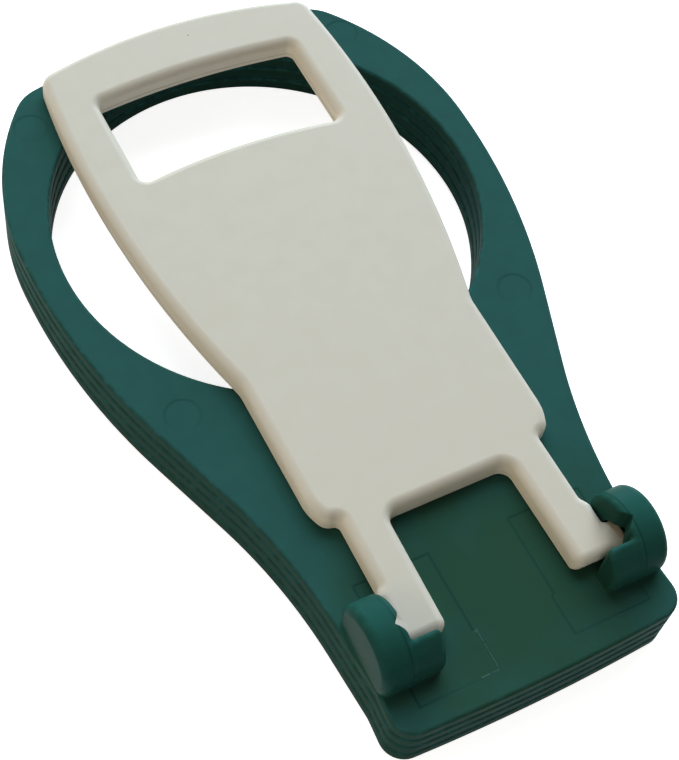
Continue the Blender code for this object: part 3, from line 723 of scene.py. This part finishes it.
# %% A dark speck
SPECK_PLACE = (2.3, 71.5, 17.7)
speck_group, given, result = effect("dark speck", [("Size", 0.25)], ["Speck"])
off = add(speck_group, "VectorMath", {0: millimetres(speck_group), 1: SPECK_PLACE}, operation="DISTANCE")
feed(speck_group, ramp(speck_group, off.outputs["Value"], 0.0, given["Size"], 1.0, 0.0), result["Speck"])
print("effects:", [group.name for group in bpy.data.node_groups])

# %% [markdown]
# ## Marks of the mould
#
# The top plate keeps the prints of its mould. Two rectangular inserts, one on each side, formed the inner ends of
# the drums, and left a fine step all round. Four ejector pins left shallow round marks on the ring. The steps are
# only hundredths of a millimetre high, so they are drawn as height for the shading and not cut into the mesh, and
# their lines are painted darker as well, as painted shade of the steps. One corner of an insert's line is scratched
# pale, in a broken line. Round the pivot the green is painted a little yellower and darker, as painted shade.

# %% Places of the marks, in millimetres
INSERT_OUT, INSERT_HALF = 22.8, 11.8
INSERT_IN, INSERT_IN_BACK, INSERT_JOG = 8.1, 7.5, -4.0
DISC_RADIUS, DISCS = 3.27, ((34.7, 64.45), (34.85, -7.05))
SCRATCHES = ((-7.5, -7.8, 0.02, 3.6), (-7.7, -4.1, 0.3, 0.15), (-9.2, -11.7, 1.7, 0.02))

# %% Helpers for the marks
marks, given, result = effect("mould marks", [("Step", 0.08)], ["Height", "Line", "Scratch", "Hub"])
place = millimetres(marks)
along = add(marks, "SeparateXYZ", {0: place}).outputs
across = calc(marks, "ABSOLUTE", along["X"])
on_top = calc(marks, "GREATER_THAN", along["Z"], TOP_TOP - 0.2)


def beyond(value, middle, half):
    """How far a coordinate is beyond a band about the middle."""
    return calc(marks, "SUBTRACT", calc(marks, "ABSOLUTE", calc(marks, "SUBTRACT", value, middle)), half)


def round_mark(x, y):
    """How far a place is outside a round mark, on either side of the plate."""
    sideways, forward = calc(marks, "SUBTRACT", across, x), calc(marks, "SUBTRACT", along["Y"], y)
    spoke = add(marks, "CombineXYZ", {0: sideways, 1: forward}).outputs[0]
    off = add(marks, "VectorMath", {0: spoke}, operation="LENGTH").outputs["Value"]
    return calc(marks, "SUBTRACT", off, DISC_RADIUS)


def boxed(x, y, half_x, half_y):
    """How far a place is outside a rectangle about the pivot."""
    return calc(marks, "MAXIMUM", beyond(along["X"], x, half_x), beyond(along["Y"], PIVOT_Y + y, half_y))


# %% Steps of the inserts and pins, and their lines of painted shade
inner = ramp(marks, along["Y"], PIVOT_Y + INSERT_JOG - 0.2, PIVOT_Y + INSERT_JOG + 0.2, INSERT_IN_BACK, INSERT_IN)
insert = calc(marks, "MAXIMUM", calc(marks, "SUBTRACT", inner, across), calc(marks, "SUBTRACT", across, INSERT_OUT))
insert = calc(marks, "MAXIMUM", insert, beyond(along["Y"], PIVOT_Y, INSERT_HALF))
discs = calc(marks, "MINIMUM", *(round_mark(*spot) for spot in DISCS))
sunk = ramp(marks, calc(marks, "MINIMUM", insert, discs), -0.35, 0.35, 0.0, 1.0)
feed(marks, calc(marks, "MULTIPLY", calc(marks, "MULTIPLY", sunk, given["Step"]), on_top), result["Height"])
# The line mask: where the steps and the round marks are painted darker, as painted shade.
line = calc(marks, "MAXIMUM", ramp(marks, calc(marks, "ABSOLUTE", insert), 0.0, 0.38, 1.0, 0.0),
            ramp(marks, calc(marks, "ABSOLUTE", discs), 0.0, 0.50, 0.4, 0.0))
feed(marks, calc(marks, "MULTIPLY", line, on_top), result["Line"])

# %% The scratch, and the painted shade round the pivot
first, second, third = (boxed(*box) for box in SCRATCHES)
off = calc(marks, "MINIMUM", calc(marks, "MINIMUM", first, second), third)
worn_through = ramp(marks, noise(marks, place, 0.9, 2.0), 0.32, 0.50)
scratch = calc(marks, "MULTIPLY", ramp(marks, off, 0.0, 0.16, 1.0, 0.0), worn_through)
feed(marks, calc(marks, "MULTIPLY", scratch, on_top), result["Scratch"])
# The hub mask: where the green round the pivot is painted darker and yellower, as painted shade.
spoke = add(marks, "VectorMath", {0: place, 1: (0, PIVOT_Y, 0)}, operation="DISTANCE").outputs["Value"]
far = calc(marks, "MULTIPLY_ADD", noise(marks, place, 0.13, 3.0), 24.0, spoke)
low_down = ramp(marks, along["Z"], TOP_TOP + 0.2, TOP_TOP + 1.6, 1.0, 0.3)
feed(marks, calc(marks, "MULTIPLY", ramp(marks, far, 26.0, 52.0, 1.0, 0.0), low_down), result["Hub"])
print("marks:", len(DISCS) * 2, "round ones, 2 inserts and", len(SCRATCHES), "strokes of a scratch")


# %% [markdown]
# ## The plastics
#
# Light goes a little way into both plastics, and a true scattering shader would cost much time for a small
# difference. So each plastic has a painted tone for steep faces instead: the cream is painted paler and warmer there,
# as painted light, and the green darker and duller, as painted shade. The greens hardly shine: their plates are matt
# from the mould and the drums, made by polished inserts, are a little smoother, and the drums' green is painted
# darker, as painted shade. The screw is plain zinc plated steel.

# %% A moulded plastic
# HUB_SHADE_TONE is the painted shade round the pivot.
HUB_SHADE_TONE, SCRATCH_TONE, SPECK_TONE = (0.0235, 0.072, 0.046, 1), (0.075, 0.170, 0.130, 1), (0.04, 0.04, 0.05, 1)
# LINE_SHADE darkens the mould lines, as painted shade of their steps.
LINE_SHARE, LINE_SHADE, SCRATCH_SHARE = 0.6, 0.5, 0.6


def plastic(name, base, cloudy, rim_wear_highlight_tone, sheen, roughness, gloss, wall, rim_wear_highlight_amount, scuff, grain=0.003, wave=0.02,
            marked=False, speck=False):
    """A satin moulded plastic.

    base and cloudy are its two close tones, rim_wear_highlight_tone is its pale tone on rims and scuffs, partly
    wear and partly a painted highlight on the rims, and wall its tone on steep faces, painted light on the cream and
    painted shade on the greens.
    sheen and gloss are the colour and strength of its shine.
    """
    material = bpy.data.materials.new(name)
    material.use_nodes = True
    tree = material.node_tree
    shader = tree.nodes["Principled BSDF"]
    shader.inputs["Specular IOR Level"].default_value = gloss
    shader.inputs["Specular Tint"].default_value = (*sheen, 1)
    surface = use(tree, grain_group, Depth=grain, Wave=wave)
    rim_wear_highlight = use(tree, rim_wear_highlight_group, Amount=rim_wear_highlight_amount)
    colour = blend(tree, surface["Cloud"], (*base, 1), (*cloudy, 1))
    # Steep faces get a painted tone: painted light on the cream, painted shade on the greens.
    steep = add(tree, "Attribute", attribute_name="upright").outputs["Fac"]
    colour = blend(tree, steep, colour, (*wall, 1))
    # Rims and scuffs get a pale tone, partly wear and partly a painted highlight on the rims.
    rim_wear_highlight_share = calc(tree, "MAXIMUM", rim_wear_highlight["Rim"], calc(tree, "MULTIPLY", rim_wear_highlight["Scuff"], scuff))
    colour = blend(tree, rim_wear_highlight_share, colour, (*rim_wear_highlight_tone, 1))
    height = surface["Height"]
    if speck:
        colour = blend(tree, use(tree, speck_group)["Speck"], colour, SPECK_TONE)
    if marked:
        mould = use(tree, marks)
        height = calc(tree, "ADD", height, mould["Height"])
        # Round the pivot the green is painted darker and yellower, as painted shade.
        colour = blend(tree, mould["Hub"], colour, HUB_SHADE_TONE)
        # The mould lines are painted darker, as painted shade of their steps.
        line_shade_tone = tuple(v * LINE_SHADE for v in base) + (1,)
        colour = blend(tree, calc(tree, "MULTIPLY", mould["Line"], LINE_SHARE), colour, line_shade_tone)
        colour = blend(tree, calc(tree, "MULTIPLY", mould["Scratch"], SCRATCH_SHARE), colour, SCRATCH_TONE)
    feed(tree, colour, shader.inputs["Base Color"])
    feed(tree, calc(tree, "MULTIPLY_ADD", surface["Cloud"], 0.06, roughness), shader.inputs["Roughness"])
    bump = add(tree, "Bump", {"Height": height, "Distance": 0.001, "Strength": 1.0})
    feed(tree, bump.outputs[0], shader.inputs["Normal"])
    return material


# %% Two greens, the cream and the steel
# wall is each plastic's painted tone on steep faces: painted shade on the greens, painted light on the cream.
GREEN = dict(base=(0.0248, 0.0920, 0.0830), cloudy=(0.0258, 0.0980, 0.0880), rim_wear_highlight_tone=(0.038, 0.150, 0.145),
             sheen=(0.1, 0.5, 1.0), roughness=0.42, gloss=0.006, wall=(0.0200, 0.0620, 0.0480), rim_wear_highlight_amount=0.7, scuff=0.3)
# The drums' green is painted darker than the plates', as painted shade on their shaded fronts.
DRUM_SHADED = dict(base=(0.0155, 0.0790, 0.0640), cloudy=(0.0165, 0.0850, 0.0690), rim_wear_highlight_tone=(0.038, 0.150, 0.145),
            sheen=(0.1, 0.6, 1.0), roughness=0.32, gloss=0.015, wall=(0.0105, 0.0540, 0.0420), rim_wear_highlight_amount=0.4, scuff=0.1)
CREAM = dict(base=(0.620, 0.560, 0.462), cloudy=(0.612, 0.553, 0.452), rim_wear_highlight_tone=(0.66, 0.64, 0.58),
             sheen=(0.5, 0.8, 1.0), roughness=0.48, gloss=0.25, wall=(0.890, 0.815, 0.690), rim_wear_highlight_amount=0.2, scuff=0.08)
green_top = plastic("green plastic with mould marks", **GREEN, marked=True)
green = plastic("green plastic", **GREEN)
green_drum = plastic("smooth green plastic", **DRUM_SHADED, grain=0.0015, marked=True)
cream = plastic("cream plastic", **CREAM, grain=0.002, wave=0.006, speck=True)
steel = bpy.data.materials.new("zinc plated steel")
steel.use_nodes = True
tree = steel.node_tree
shader = tree.nodes["Principled BSDF"]
surface = use(tree, grain_group, Depth=0.002, Wave=0.0)
shader.inputs["Metallic"].default_value = 1.0
feed(tree, blend(tree, surface["Cloud"], (0.60, 0.60, 0.58, 1), (0.50, 0.50, 0.50, 1)), shader.inputs["Base Color"])
feed(tree, calc(tree, "MULTIPLY_ADD", surface["Cloud"], 0.15, 0.25), shader.inputs["Roughness"])
print("finishes:", [made.name for made in (green_top, green, green_drum, cream, steel)])

# %% [markdown]
# ## Onto the bodies
#
# Every piece takes the place of its CAD node, and rides on that node's body, so that it follows the joints.

# %% Riding and slots
for node, body in (("second_ring_plate", "second_plate"), ("third_ring_plate", "third_plate"),
                   ("bottom_ring_plate", "bottom_plate"), ("top_ring_plate", "top_plate")):
    made = stack[node]
    made.data.materials.append(green_top if node == "top_ring_plate" else green)
    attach(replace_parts(made, node), body)
drums.data.materials.append(green_drum)
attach(drums, "top_plate")
cap.data.materials.append(green)
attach(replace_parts(cap, "retaining_cap"), "top_plate")
screw.data.materials.append(steel)
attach(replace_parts(screw, "pivot_screw"), "top_plate")
handle.data.materials.append(cream)
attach(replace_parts(handle, "handle"), "handle")
pins.data.materials.append(cream)
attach(pins, "handle")
print("on the bodies:", [made.name for made in (*stack.values(), drums, cap, screw, handle, pins)])

# %% [markdown]
# ## Floor, light and camera
#
# The carrier lies on a pale floor in soft light. The main light is wide and comes from above, behind and to the right,
# a little cool, as from a window. Three weak ones help it: a warm one from the left warms the walls on that side, a
# blue one low behind puts sky on the drums, and one from the front opens the shadows. The floor and the world look
# white to the camera and in reflections, and give the carrier no more light for it.

# %% Floor
FLOOR = 3
floor_mesh = bpy.data.meshes.new("floor")
floor_mesh.from_pydata([(-FLOOR, -FLOOR, 0), (FLOOR, -FLOOR, 0), (FLOOR, FLOOR, 0), (-FLOOR, FLOOR, 0)], [],
                       [(0, 1, 2, 3)])
floor = bpy.data.objects.new("floor", floor_mesh)
bpy.context.scene.collection.objects.link(floor)
paper = bpy.data.materials.new("pale floor")
paper.use_nodes = True
tree = paper.node_tree
shader = tree.nodes["Principled BSDF"]
shader.inputs["Base Color"].default_value = (0.80, 0.80, 0.80, 1)
shader.inputs["Roughness"].default_value = 0.9
shader.inputs["Specular IOR Level"].default_value = 0.1


def seen(tree):
    """One where a camera, glossy or transmission ray arrives, and zero for light on the object."""
    ray = add(tree, "LightPath").outputs
    return calc(tree, "MINIMUM", calc(tree, "ADD", calc(tree, "ADD", ray["Is Camera Ray"], ray["Is Glossy Ray"]),
                                      ray["Is Transmission Ray"]), 1.0)


GLOW = 0.86
feed(tree, calc(tree, "MULTIPLY", seen(tree), GLOW), shader.inputs["Emission Strength"])
shader.inputs["Emission Color"].default_value = (1, 1, 1, 1)
floor.data.materials.append(paper)
print("floor", 2 * FLOOR, "m across")

# %% World and lamps
world = bpy.data.worlds.new("studio")
bpy.context.scene.world = world
world.use_nodes = True
tree = world.node_tree
background = tree.nodes["Background"]
AMBIENT = 0.06
feed(tree, blend(tree, seen(tree), (1.0, 0.95, 0.86, 1), (1, 1, 1, 1)), background.inputs[0])
feed(tree, calc(tree, "MULTIPLY_ADD", seen(tree), 1 - AMBIENT, AMBIENT), background.inputs[1])


def softbox(name, place, size, power, colour):
    """A square area lamp that faces the carrier."""
    lamp = bpy.data.lights.new(name, "AREA")
    lamp.size, lamp.energy, lamp.color = size, power, colour
    made = bpy.data.objects.new(name, lamp)
    made.location = place
    made.rotation_euler = Vector(place).to_track_quat("Z", "Y").to_euler()
    bpy.context.scene.collection.objects.link(made)


softbox("window light", (1.17, 2.21, 2.33), 3.9, 186.0, (0.83, 0.93, 1.0))
softbox("left fill", (-1.95, 0.15, 0.75), 1.4, 12.0, (1.0, 0.84, 0.60))
softbox("low sky", (1.5, 2.0, 0.30), 0.8, 24.0, (0.50, 0.78, 1.0))
softbox("front fill", (-0.6, -1.2, 0.8), 1.0, 3.0, (1.0, 0.96, 0.88))
print("lamps:", {lamp.name: lamp.energy for lamp in bpy.data.lights})

# %% Camera
EYE, LENS = (-0.10149, -0.13577, 0.25851), 75.79231
azimuth, elevation, roll = (math.radians(angle) for angle in (-37.6717, 57.4738, 11.7958))
towards = Vector((math.sin(azimuth) * math.cos(elevation), -math.cos(azimuth) * math.cos(elevation),
                  math.sin(elevation)))
right = (-towards).cross(Vector((0, 0, 1))).normalized()
upward = right.cross(-towards)
camera_data = bpy.data.cameras.new("camera")
camera_data.lens, camera_data.sensor_width = LENS, 36
camera = bpy.data.objects.new("camera", camera_data)
axes = Matrix((right * math.cos(roll) + upward * math.sin(roll),
               upward * math.cos(roll) - right * math.sin(roll), towards)).transposed()
camera.matrix_world = Matrix.Translation(EYE) @ axes.to_4x4()
bpy.context.scene.collection.objects.link(camera)
bpy.context.scene.camera = camera
bpy.context.scene.view_settings.view_transform = "Standard"
print("camera", round(Vector(EYE).length, 3), "m away")

# %% The end
bpy.context.view_layer.update()
